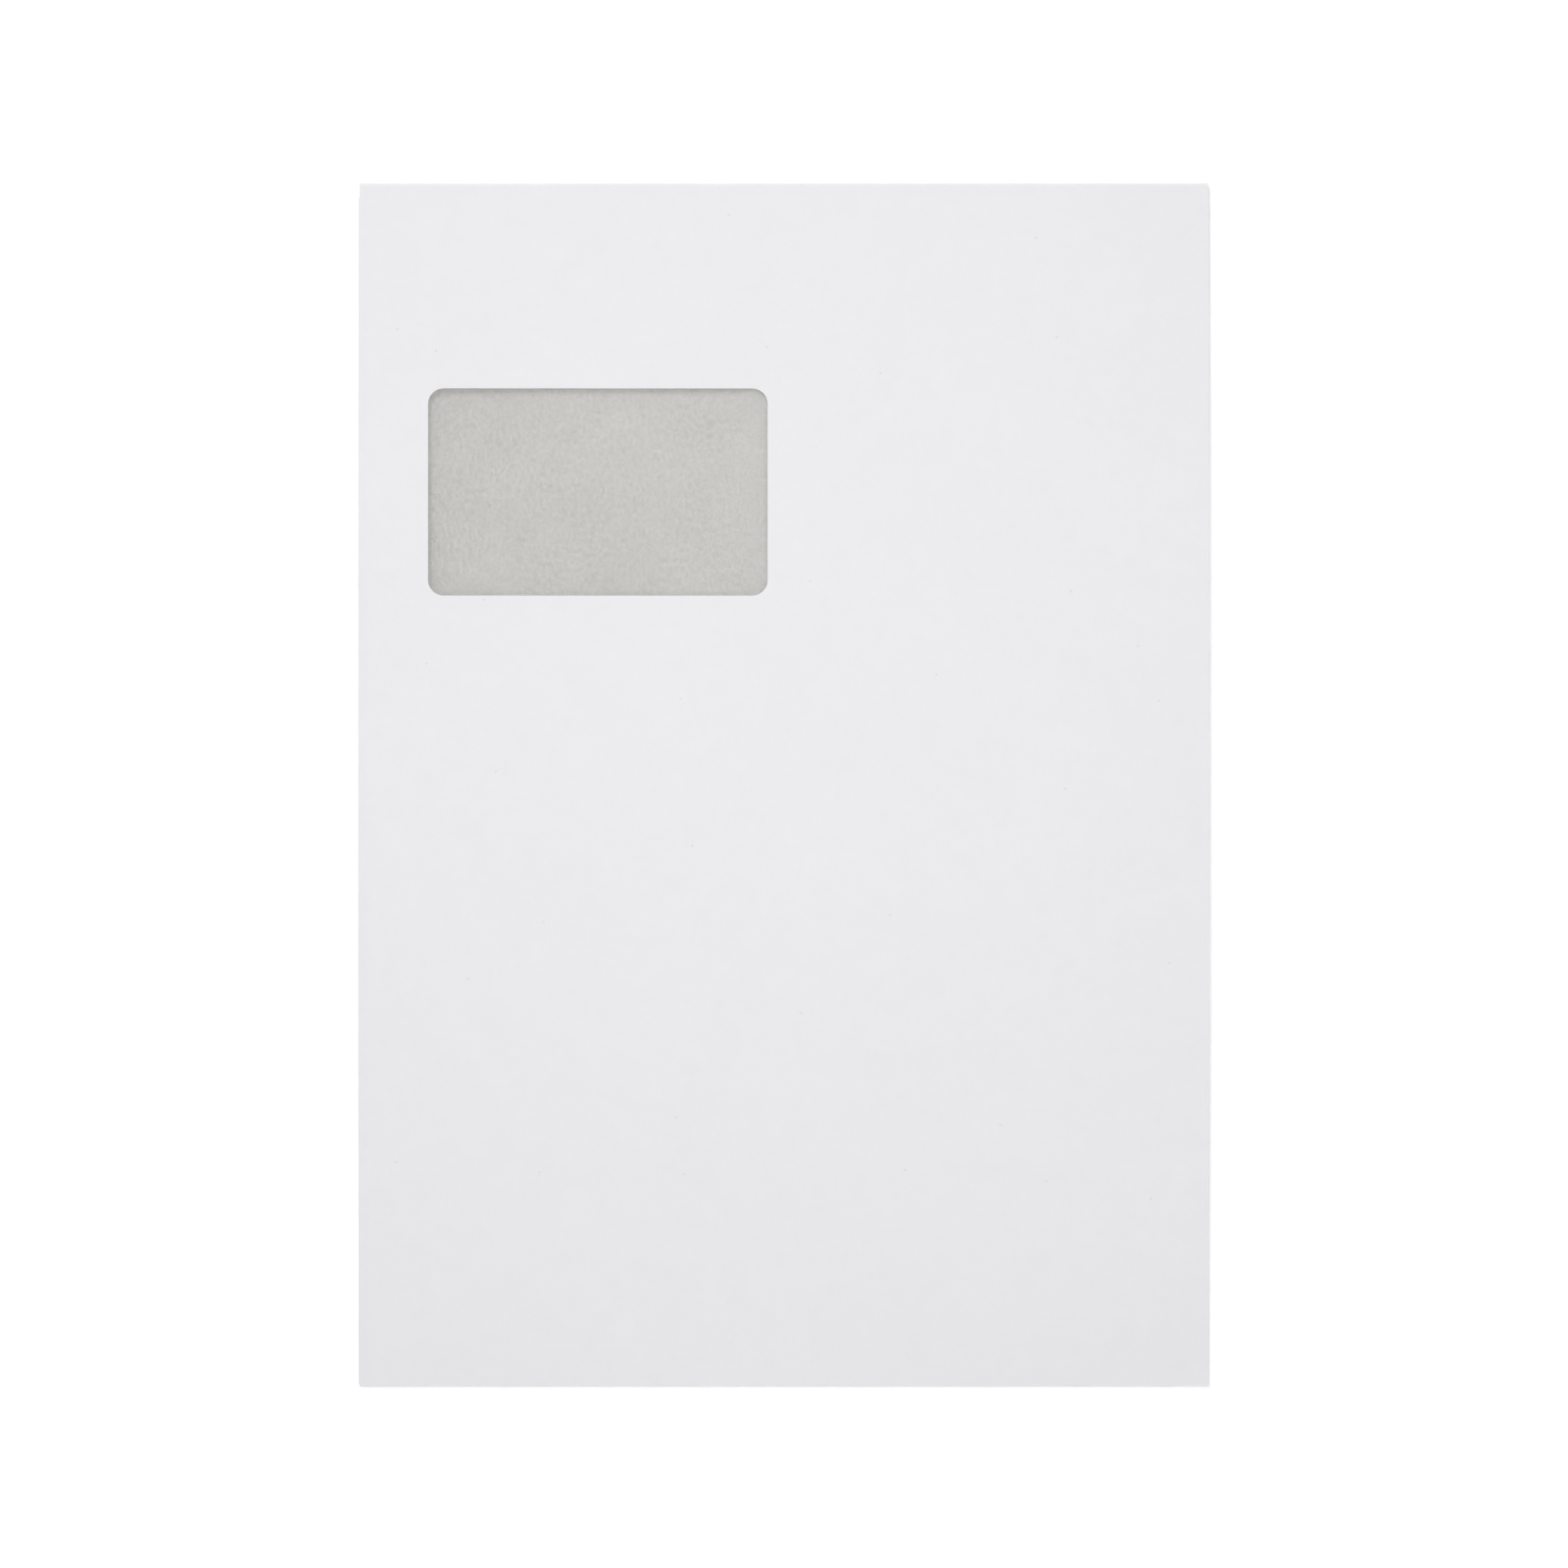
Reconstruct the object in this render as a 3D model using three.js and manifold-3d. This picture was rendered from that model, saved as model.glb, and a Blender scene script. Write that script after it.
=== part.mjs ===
// A gusseted pocket envelope with an address window, folded from one sheet of white paper.
// It lies on its back, empty, with the address side up and its closing flap folded under it.
// Millimetres, +Z up, +Y toward the mouth. The origin is on the surface that the envelope lies on,
// under the middle of its outline.
import * as THREE from "three";
import { mergeVertices } from "three/addons/utils/BufferGeometryUtils.js";
import Module from "manifold-3d";

// Outline of the closed envelope
const width = 229;
const length = 324;

// The sheet, and what keeps its layers apart
const paper = 0.18;
const layerAir = 0.22; // between two layers of the pressed stack
const glue = 0.05; // thickness of a glue line
const glueBite = 0.03; // how far the glue soaks into each of the two layers
const glueMargin = 3; // bare paper round a glued area
const contact = 0.06; // between separate pieces that lie on each other

// Side gussets
const gussetLeg = 18; // from an outer fold to the inner fold
const gussetSpring = 1.8; // how much the paper springs open beyond the pressed stack
const springReach = 110; // length over which it opens, from either end

// Front panel
const frontSag = 0.8; // dip between the two gussets

// Back panel: two halves that lap along the middle, the right one outside
const seamLap = 16;
const seamRamp = 5; // width over which the inner half climbs onto the outer one
const restAir = 0.05; // under the middle of the back panel
const backReach = 60; // length over which the back panel comes down from a folded end

// Closing flap at the mouth
const flapLength = 45;
const flapTaper = 6; // how much each side draws in
const flapCorner = 8;
const throat = 4; // from the flap's fold down to the edge of the back panel

// Bottom flap, folded up and glued onto the back panel
const bottomLength = 28;
const bottomTaper = 7;
const bottomCorner = 5;

// Address window, measured from the left side and from the bottom edge
const windowLeft = 18.8;
const windowBottom = 213;
const windowWidth = 91.3;
const windowHeight = 55.7;
const windowCorner = 4.2;

// Clear film, glued behind the window
const film = 0.05;
const filmMargin = 8;

// Self-adhesive strip on the inside of the closing flap, and the liner that covers it
const adhesive = 0.08;
const adhesiveWidth = 18;
const adhesiveInset = 6; // from the flap's free edge and from its sides
const liner = 0.1;
const linerOverhang = 2; // past the strip all round

// Fineness of the mesh
const foldSteps = 6; // facets round a sharp fold
const roundSteps = 8; // facets round the two folded ends
const cornerSteps = 5; // facets round a flap's corner
const frontSteps = 7; // columns in half of the front panel
const backSteps = 4; // columns in half of the back panel, beside the lap
const tubeSteps = 20; // rows along the envelope
const filmSteps = 7;

// Heights of the sheet's middle surface, and radii of its folds
const half = paper / 2;
const foldRadius = (paper + layerAir) / 2;
const stack = 3 * (paper + layerAir); // from back panel to front panel, gussets pressed flat
const seamRise = paper + glue;
const adhesiveLevel = paper + contact; // underside of the adhesive strip
const linerLevel = adhesiveLevel + adhesive + contact; // underside of the liner
const backAtMouth = linerLevel + liner + contact + half;
const backAtBottom = paper + glue + half;
const backAtRest = restAir + half;
const flapLevel = half;
const mouthRadius = (backAtMouth + stack - flapLevel) / 2;
const bottomRadius = (backAtBottom + stack - flapLevel) / 2;

// Places along and across
const mouthY = length / 2 - mouthRadius - half; // centre of the round at the mouth
const bottomY = -length / 2 + bottomRadius + half; // centre of the round at the bottom
const throatY = length / 2 - throat;
const sideX = width / 2 - foldRadius - half; // where the panels run into their side folds
const gussetX = width / 2 - gussetLeg; // the inner folds, and the edges of the sagging middle
const tubeYs = steps(bottomY, throatY, tubeSteps); // the sections, from the bottom to the throat

// A smooth step from 0 to 1: half a cosine wave.
function ease(t) {
  return (1 - Math.cos(Math.PI * THREE.MathUtils.clamp(t, 0, 1))) / 2;
}

// Values from a to b in equal steps, both ends included.
function steps(a, b, count) {
  return Array.from({ length: count + 1 }, (_, i) => a + ((b - a) * i) / count);
}

// How far the envelope has sprung open at y: 0 at both folded ends, 1 in the middle.
function opening(y) {
  return ease((mouthY - y) / springReach) * ease((y - bottomY) / springReach);
}

// Height of the back panel's middle surface. It lies parallel to both flaps and sinks between them.
function backHeight(y) {
  const fromBottom = ease((y - (bottomY - bottomRadius + bottomLength)) / backReach);
  const fromMouth = ease((mouthY + mouthRadius - flapLength - y) / backReach);
  return (
    backAtRest +
    (backAtBottom - backAtRest) * (1 - fromBottom) +
    (backAtMouth - backAtRest) * (1 - fromMouth)
  );
}

// Distance between the back panel and the front panel along the side folds.
function sideGap(y) {
  return stack + gussetSpring * opening(y);
}

// Height of the front panel's middle surface.
function frontHeight(x, y) {
  const inward = 1 - Math.min(Math.abs(x) / gussetX, 1);
  return backHeight(y) + sideGap(y) - frontSag * opening(y) * ease(inward);
}

// Slope of the front panel across the envelope, for its normal.
function frontNormal(x, y) {
  const reach = 0.01;
  const slope = (frontHeight(x + reach, y) - frontHeight(x - reach, y)) / (2 * reach);
  return new THREE.Vector3(-slope, 0, 1).normalize();
}

// A point of the sheet's middle surface with the direction of the sheet's outer face.
function sheetPoint(x, y, z, normal) {
  return { at: new THREE.Vector3(x, y, z), normal };
}

// The fold round a centre in the section at y, as the sheet's heading turns from one angle to another.
// The outer face is on the left of the heading. A right turn keeps the centre on the inner side.
function fold(x, z, y, fromHeading, toHeading) {
  const side = toHeading < fromHeading ? 1 : -1;
  return steps(fromHeading, toHeading, foldSteps).map((heading) => {
    const normal = new THREE.Vector3(-Math.sin(heading), 0, Math.cos(heading));
    return sheetPoint(
      x + side * foldRadius * normal.x,
      y,
      z + side * foldRadius * normal.z,
      normal,
    );
  });
}

// Half of a section at y, on the left: the back panel from its free edge at the lap out to the side,
// the gusset with its three folds, and the front panel in to the middle.
// rise lifts the lapping part of the back panel.
function halfSection(y, rise) {
  const down = new THREE.Vector3(0, 0, -1);
  const back = backHeight(y);
  const lap = seamLap / 2;
  const lapped = steps(lap, -lap, 2).map((x) => sheetPoint(x, y, back + rise, down));
  const plain = steps(-lap - seamRamp, -sideX, backSteps)
    .slice(0, -1)
    .map((x) => sheetPoint(x, y, back, down));

  // Each leg is a straight line that touches the folds at its two ends from opposite sides.
  const climb = (sideGap(y) - 2 * foldRadius) / 2;
  const tilt =
    Math.asin(climb / Math.hypot(gussetLeg, 2 * foldRadius)) -
    Math.atan2(2 * foldRadius, gussetLeg);
  const innerX =
    -sideX + gussetLeg * Math.cos(tilt) - 2 * foldRadius * Math.sin(tilt);
  const lower = back + foldRadius;
  const gusset = [
    ...fold(-sideX, lower, y, Math.PI, tilt),
    ...fold(innerX, lower + climb, y, tilt, Math.PI - tilt),
    ...fold(-sideX, lower + 2 * climb, y, Math.PI - tilt, 0),
  ];

  const front = steps(-sideX, 0, frontSteps)
    .slice(1)
    .map((x) => sheetPoint(x, y, frontHeight(x, y), frontNormal(x, y)));
  return [...lapped, ...plain, ...gusset, ...front];
}

// The right half of a section is the left half's mirror image, walked the other way.
function mirrored(points) {
  return points
    .map(({ at, normal }) =>
      sheetPoint(-at.x, at.y, at.z, new THREE.Vector3(-normal.x, 0, normal.z)),
    )
    .reverse();
}

// A whole section of the tube, from one free edge of the back panel round to the other.
function tubeSection(y) {
  const right = mirrored(halfSection(y, 0));
  return [...halfSection(y, seamRise), ...right.slice(1)];
}

// The front panel's part of a section, padded to the section's length where the sheet is cut away.
const sectionCount = tubeSection(0).length;
const sideCount = (sectionCount - (2 * frontSteps + 1)) / 2;
function frontRow(place) {
  const cutAway = Array(sideCount).fill(null);
  const xs = steps(-sideX, sideX, 2 * frontSteps);
  return [...cutAway, ...xs.map(place), ...cutAway];
}

// A flap's half-width as a share of the panel's, at a distance from its fold: straight tapering sides,
// then rounded corners.
function flapShare(distance, reach, taper, corner) {
  const intoCorner = Math.max(0, distance - (reach - corner));
  const round = corner - Math.sqrt(Math.max(0, corner ** 2 - intoCorner ** 2));
  return (sideX - (taper * distance) / reach - round) / sideX;
}

// Rows of a flap from its fold outward: half a turn round the folded end, then the flat flap.
// direction is +1 at the mouth and -1 at the bottom.
function flapRows(centreY, radius, direction, reach, taper, corner) {
  const turn = steps(0, Math.PI, roundSteps).slice(1);
  const round = turn.map((angle) =>
    frontRow((x) =>
      sheetPoint(
        x,
        centreY + direction * radius * Math.sin(angle),
        flapLevel + radius * (1 + Math.cos(angle)),
        new THREE.Vector3(0, direction * Math.sin(angle), Math.cos(angle)),
      ),
    ),
  );
  const flat = reach - radius;
  const distances = [
    ...steps(0, flat - corner, 3).slice(1),
    ...steps(0, Math.PI / 2, cornerSteps)
      .slice(1)
      .map((angle) => flat - corner + corner * Math.sin(angle)),
  ];
  const lying = distances.map((distance) =>
    frontRow((x) =>
      sheetPoint(
        x * flapShare(distance, flat, taper, corner),
        centreY - direction * distance,
        flapLevel,
        new THREE.Vector3(0, 0, -1),
      ),
    ),
  );
  return [...round, ...lying];
}

// A closed solid from rows of sheet points: both faces of the sheet, and a wall along each cut edge.
// An empty place in a row is paper that is cut away.
function sheetGeometry(rows, thickness) {
  const position = [];
  const ids = rows.map((row) =>
    row.map((point) => {
      if (!point) return null;
      for (const side of [1, -1]) {
        const face = point.at.clone().addScaledVector(point.normal, (side * thickness) / 2);
        position.push(...face.toArray());
      }
      return position.length / 3 - 2;
    }),
  );
  const index = [];
  const quad = (a, b, c, d) => index.push(a, b, c, a, c, d);
  const edges = new Map();
  for (let r = 0; r + 1 < rows.length; r++) {
    for (let c = 0; c + 1 < rows[r].length; c++) {
      const cell = [ids[r][c], ids[r][c + 1], ids[r + 1][c + 1], ids[r + 1][c]];
      if (cell.includes(null)) continue;
      quad(...cell);
      quad(...cell.map((id) => id + 1).reverse());
      cell.forEach((from, i) => {
        const to = cell[(i + 1) % 4];
        edges.set(`${from},${to}`, [from, to]);
      });
    }
  }
  for (const [from, to] of edges.values()) {
    if (!edges.has(`${to},${from}`)) quad(from, from + 1, to + 1, to);
  }
  const geometry = new THREE.BufferGeometry();
  geometry.setAttribute("position", new THREE.Float32BufferAttribute(position, 3));
  geometry.setIndex(index);
  return geometry;
}

// Rows of a rectangular sheet that faces up. height gives its middle surface.
function rectangleRows(xs, ys, height) {
  const up = new THREE.Vector3(0, 0, 1);
  return ys.map((y) => xs.map((x) => sheetPoint(x, y, height(x, y), up)));
}

const wasm = await Module();
wasm.setup();

// A geometry as a solid for joining and cutting, and back.
function solid(geometry) {
  const bare = geometry.clone();
  bare.deleteAttribute("normal");
  bare.deleteAttribute("uv");
  const merged = mergeVertices(bare, 1e-4);
  return new wasm.Manifold(
    new wasm.Mesh({
      numProp: 3,
      vertProperties: merged.attributes.position.array,
      triVerts: new Uint32Array(merged.index.array),
    }),
  );
}

function geometryOf(body) {
  const { vertProperties, triVerts } = body.getMesh();
  const geometry = new THREE.BufferGeometry();
  geometry.setAttribute("position", new THREE.BufferAttribute(vertProperties, 3));
  geometry.setIndex(new THREE.BufferAttribute(triVerts, 1));
  geometry.computeVertexNormals();
  return geometry;
}

// The whole blank: bottom flap, tube and closing flap, row by row.
function blankRows() {
  const bottom = flapRows(bottomY, bottomRadius, -1, bottomLength, bottomTaper, bottomCorner);
  const closing = flapRows(mouthY, mouthRadius, 1, flapLength, flapTaper, flapCorner);
  const lip = frontRow((x) =>
    sheetPoint(x, mouthY, frontHeight(x, mouthY), frontNormal(x, mouthY)),
  );
  return [...bottom.reverse(), ...tubeYs.map(tubeSection), lip, ...closing];
}

// Glue between the two halves of the back panel, along the lap.
function seamGlue() {
  const reach = seamLap / 2 - glueMargin;
  const ys = tubeYs.map((y) =>
    THREE.MathUtils.clamp(y, bottomY + glueMargin, throatY - glueMargin),
  );
  const rows = rectangleRows([-reach, reach], ys, (x, y) => backHeight(y) + seamRise / 2);
  return sheetGeometry(rows, glue + 2 * glueBite);
}

// Glue between the bottom flap and the back panel.
function bottomGlue() {
  const reachX = sideX - bottomTaper - bottomCorner - glueMargin;
  const foldedEdge = bottomY + glueMargin;
  const freeEdge = bottomY - bottomRadius + bottomLength - glueMargin;
  const rows = rectangleRows([-reachX, reachX], [foldedEdge, freeEdge], () => paper + glue / 2);
  return sheetGeometry(rows, glue + 2 * glueBite);
}

// Centre of the window in the envelope's frame.
const windowX = -width / 2 + windowLeft + windowWidth / 2;
const windowY = -length / 2 + windowBottom + windowHeight / 2;

// The die that cuts the window: a rounded rectangle that passes through the front panel alone.
function windowDie() {
  const w = windowWidth / 2;
  const h = windowHeight / 2;
  const r = windowCorner;
  const outline = new THREE.Shape();
  outline.absarc(w - r, h - r, r, 0, Math.PI / 2);
  outline.absarc(-w + r, h - r, r, Math.PI / 2, Math.PI);
  outline.absarc(-w + r, -h + r, r, Math.PI, 1.5 * Math.PI);
  outline.absarc(w - r, -h + r, r, 1.5 * Math.PI, 2 * Math.PI);
  const heights = [-w, 0, w].flatMap((dx) =>
    [-h, 0, h].map((dy) => frontHeight(windowX + dx, windowY + dy)),
  );
  const lowest = Math.min(...heights) - half - layerAir / 2;
  const highest = Math.max(...heights) + half + layerAir / 2;
  const die = new THREE.ExtrudeGeometry(outline, {
    depth: highest - lowest,
    bevelEnabled: false,
    curveSegments: cornerSteps,
  });
  return die.translate(windowX, windowY, lowest);
}

function envelopeSheet() {
  const folded = solid(sheetGeometry(blankRows(), paper));
  const glued = folded.add(solid(seamGlue())).add(solid(bottomGlue()));
  return geometryOf(glued.subtract(solid(windowDie())));
}

// The film follows the inside of the front panel.
function windowFilm() {
  const reachX = windowWidth / 2 + filmMargin;
  const reachY = windowHeight / 2 + filmMargin;
  const below = half + contact + film / 2;
  const rows = rectangleRows(
    steps(windowX - reachX, windowX + reachX, filmSteps),
    steps(windowY - reachY, windowY + reachY, filmSteps),
    (x, y) => frontHeight(x, y) - below,
  );
  return sheetGeometry(rows, film);
}

// A strip along the closing flap's free edge, as much wider and longer than the adhesive as extra says.
function flapStrip(thickness, level, extra) {
  const freeEdge = mouthY + mouthRadius - flapLength + adhesiveInset;
  const reachX = sideX - flapTaper - adhesiveInset + extra;
  const rows = rectangleRows(
    [-reachX, reachX],
    [freeEdge - extra, freeEdge + adhesiveWidth + extra],
    () => level + thickness / 2,
  );
  return sheetGeometry(rows, thickness);
}

// A named piece with its own finish.
function piece(name, geometry, finish) {
  const mesh = new THREE.Mesh(
    geometry,
    new THREE.MeshStandardMaterial({ metalness: 0, ...finish }),
  );
  mesh.name = name;
  return mesh;
}

const envelope = new THREE.Group();
envelope.name = "gusseted_envelope";
envelope.add(
  piece("envelope_sheet", envelopeSheet(), { color: 0xececee, roughness: 0.85 }),
  piece("window_film", windowFilm(), {
    color: 0xf4f5f4,
    roughness: 0.12,
    transparent: true,
    opacity: 0.25,
  }),
  piece("adhesive_strip", flapStrip(adhesive, adhesiveLevel, 0), {
    color: 0xe6dfcb,
    roughness: 0.35,
  }),
  piece("release_liner", flapStrip(liner, linerLevel, linerOverhang), {
    color: 0xf3f1e8,
    roughness: 0.4,
  }),
);

export default envelope;
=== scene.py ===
import math

import bpy
import numpy as np
from bpy.props import FloatProperty, FloatVectorProperty, IntProperty, PointerProperty
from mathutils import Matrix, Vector


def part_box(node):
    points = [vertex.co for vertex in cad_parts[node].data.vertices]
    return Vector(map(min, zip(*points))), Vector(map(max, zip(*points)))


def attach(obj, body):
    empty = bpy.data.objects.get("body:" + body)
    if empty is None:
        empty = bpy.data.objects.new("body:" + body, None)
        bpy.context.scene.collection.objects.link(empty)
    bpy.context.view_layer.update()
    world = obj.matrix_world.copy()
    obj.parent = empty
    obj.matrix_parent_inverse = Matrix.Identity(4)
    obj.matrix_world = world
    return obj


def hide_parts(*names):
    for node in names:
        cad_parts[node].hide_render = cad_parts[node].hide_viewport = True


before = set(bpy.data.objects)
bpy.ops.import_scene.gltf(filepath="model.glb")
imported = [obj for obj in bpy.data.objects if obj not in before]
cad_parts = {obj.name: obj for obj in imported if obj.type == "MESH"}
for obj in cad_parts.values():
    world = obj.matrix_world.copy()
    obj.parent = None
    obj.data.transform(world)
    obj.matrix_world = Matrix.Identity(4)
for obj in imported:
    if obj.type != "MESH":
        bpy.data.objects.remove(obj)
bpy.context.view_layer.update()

bl_info = {
    "name": "Gusseted window envelope",
    "version": (1, 0, 0),
    "blender": (4, 5, 0),
    "location": "View3D > Sidebar > Envelope",
    "description": "A pocket envelope with side gussets, folded from one sheet round a fixed frame",
    "category": "Add Mesh",
}

MM = 0.001

# Places and sizes of the lights in metres, and each reflector's part of their power
KEY_PLACE = (-0.5, 1.1, 1.4)
KEY_SIZE = (1.0, 0.8)
OVERHEAD_PLACE = (0.02, 0.0, 0.6)
OVERHEAD_SIZE = (0.4, 0.4)
REFLECTOR_SIZE = (1.2, 0.1)
REFLECTORS = (
    ("reflector_bottom", (0.0, -0.9, 0.06), 1.0),
    ("reflector_right", (0.9, -0.1, 0.06), 0.6),
)
# Hue of the even light from all round, and plain white
FILL_HUE = (1.0, 0.975, 1.04)
WHITE = (1.0, 1.0, 1.0, 1.0)

# The floor: from its middle to an edge in metres, how far it lies under the envelope, its colour
FLOOR_REACH = 12.0
FLOOR_DROP = 0.01 * MM
FLOOR_COLOUR = (0.9, 0.9, 0.9)
# The glow that makes the floor white to the camera: its share near the envelope, and the distances
# in metres between which it grows to the whole
NEAR_LIFT = 0.36
LIFT_RANGE = (0.25, 1.1)

# The camera's sensor in millimetres, and how far it sees in metres
SENSOR_WIDTH = 36.0
CLIP_END = 100.0
# How far the camera stands from the middle, towards the mouth, as in the photograph
CAMERA_SHIFT = 0.3 * MM

# The paper's slow waves: length along x and along y in metres, and phase in radians
COCKLE_WAVES = ((0.163, 0.41, 0.7), (0.094, -0.27, 2.1), (0.31, 0.118, 4.0))
# The step over a gusset's inner fold: how far outside the fold it starts, and how wide it is
PRINT_START = 1 * MM
PRINT_WIDTH = 12 * MM

# Fineness of the smaller meshes
SLOPE_STEP = 0.01 * MM
# Part of a step by which an even run may miss a whole number of steps
ROUNDING = 1e-6
COLLAR_RINGS = 4
CORNER_POINTS = 7
STRIP_PITCH = 4 * MM
LINER_PITCH = 2 * MM
RIB_STEPS = 8
SHARP_ANGLE = math.radians(50)
# Thickness of the adhesive at its outline, as a part of the whole
EDGE_SHARE = 0.35

# Width beside the window's left edge over which the painted shadow on the grey print inside fades out
EDGE_SHADOW_WIDTH = 16 * MM
# The mark is 1 on the inner face and 0 on the outer one, and the print ends between these values
INNER_FACE = (0.85, 0.95)
# Specks in the paper, and the fading edge of one as parts of their mean spacing
SPECKS_PER_METRE = 21.0
SPECK_EDGE = (0.0025, 0.0090)


def node_box(node):
    """Lowest and highest corner of a node of the frame, as plain arrays in metres."""
    low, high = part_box(node)
    return np.array(low, float), np.array(high, float)


SHEET_LOW, SHEET_HIGH = node_box("envelope_sheet")
FILM_LOW, FILM_HIGH = node_box("window_film")
LINER_LOW, LINER_HIGH = node_box("release_liner")
ADHESIVE_LOW, ADHESIVE_HIGH = node_box("adhesive_strip")


# Sizes and colours that a user would change

def size(name, description, default):
    """A length property in metres, its default given in millimetres."""
    return FloatProperty(
        name=name,
        description=description,
        default=default * MM,
        min=0.0,
        precision=5,
        unit="LENGTH",
        subtype="DISTANCE",
    )


def colour(name, description, default):
    """A linear colour property."""
    return FloatVectorProperty(
        name=name, description=description, default=default, size=3, min=0.0, max=1.0, subtype="COLOR"
    )


def share(name, description, default):
    """A plain number from 0 to 1."""
    return FloatProperty(
        name=name, description=description, default=default, min=0.0, max=1.0, subtype="FACTOR"
    )


class SheetSizes(bpy.types.PropertyGroup):
    """Sizes of the folded sheet"""

    paper: size("Paper", "Thickness of the sheet", 0.18)
    layer_air: size("Air between layers", "Air between two layers of the pressed stack", 0.22)
    contact: size("Contact gap", "Gap between separate pieces that lie on each other", 0.06)
    glue: size("Glue line", "Thickness of a glue line", 0.05)
    gusset_leg: size("Gusset leg", "From an outer fold to the inner fold", 18)
    gusset_spring: size("Gusset spring", "How far the gussets stand open at mid length", 1.8)
    spring_reach: size("Spring reach", "Length over which the gussets open, from either end", 110)
    front_sag: size("Front sag", "Dip of the front panel between the gussets", 0.8)
    seam_lap: size("Seam lap", "Overlap of the two halves of the back panel", 16)
    seam_ramp: size("Seam ramp", "Width over which the inner half climbs onto the outer one", 5)
    rest_air: size("Air at rest", "Air under the middle of the back panel", 0.05)
    back_reach: size("Back reach", "Length over which the back panel comes down from a fold", 60)
    flap_length: size("Flap length", "Depth of the closing flap", 45)
    flap_taper: size("Flap taper", "How much each side of the closing flap draws in", 6)
    flap_corner: size("Flap corner", "Radius of the closing flap's corners", 8)
    throat: size("Throat", "From the closing flap's fold to the edge of the back panel", 4)
    bottom_length: size("Bottom flap length", "Depth of the bottom flap", 28)
    bottom_taper: size("Bottom flap taper", "How much each side of the bottom flap draws in", 7)
    bottom_corner: size("Bottom flap corner", "Radius of the bottom flap's corners", 5)
    window_corner: size("Window corner", "Radius of the window's corners", 4.2)
    film: size("Film", "Thickness of the window film", 0.05)
    film_margin: size("Film margin", "How far the film reaches past the window", 8)
    cockle: size("Cockle", "Depth of the paper's slow waves", 0.14)
    gusset_print: size("Gusset print", "Step in the front panel over the gussets' inner folds", 0.06)


class SheetMesh(bpy.types.PropertyGroup):
    """Fineness of the folded sheet"""

    pitch: size("Pitch", "Spacing of the mesh over the panels", 3.2)
    corner_pitch: size("Corner pitch", "Spacing beside the window's corners", 0.55)
    fold_steps: IntProperty(name="Fold steps", description="Facets round a sharp fold", default=10, min=4)
    round_steps: IntProperty(name="Round steps", description="Facets of a folded end", default=14, min=4)


class ClosureSizes(bpy.types.PropertyGroup):
    """Sizes of the adhesive strip and its liner"""

    adhesive_corner: size("Adhesive corner", "Radius of the adhesive strip's corners", 3)
    adhesive_edge: size("Adhesive edge", "Width over which the adhesive thins out to its edges", 1.2)
    rib_pitch: size("Rib pitch", "Spacing of the adhesive's ribs", 1.5)
    rib_share: share("Rib depth", "Depth of the ribs as a part of the adhesive's thickness", 0.3)
    liner_corner: size("Liner corner", "Radius of the liner's corners", 1.5)


class Finishes(bpy.types.PropertyGroup):
    """Colours of the paper, the film and the strip"""

    paper_white: colour("Paper", "Outside of the sheet", (0.856, 0.860, 0.864))
    tint_grey: colour("Inner tint", "Grey print on the inside of the sheet", (0.583, 0.576, 0.532))
    film_veil: colour("Film", "Haze of the clear film", (0.74, 0.74, 0.73))
    film_cover: share("Film cover", "How much the film hides of what is behind it", 0.16)
    adhesive_cream: colour("Adhesive", "Self-adhesive strip", (0.78, 0.73, 0.6))
    liner_cream: colour("Liner", "Release liner", (0.88, 0.86, 0.79))


class StageSettings(bpy.types.PropertyGroup):
    """Camera, floor and light"""

    view_width: size("View width", "Width of the picture at the front panel", 421.6)
    view_height: size("Camera height", "Height of the camera over the front panel", 1600)
    key_level: FloatProperty(
        name="Key light", description="Power of the light from the mouth end", default=15.6, unit="POWER"
    )
    overhead_level: FloatProperty(
        name="Overhead light", description="Power of the light from above", default=1.33, unit="POWER"
    )
    reflector_level: FloatProperty(
        name="Reflectors",
        description="Power of the low light on the shaded edges",
        default=2.9,
        unit="POWER",
    )
    fill_level: share("Fill light", "Strength of the even light from all round", 0.293)


# Form of the folded sheet

def ease(t):
    """A smooth step from 0 to 1: half a cosine wave."""
    return (1 - np.cos(np.pi * np.clip(t, 0, 1))) / 2


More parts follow.
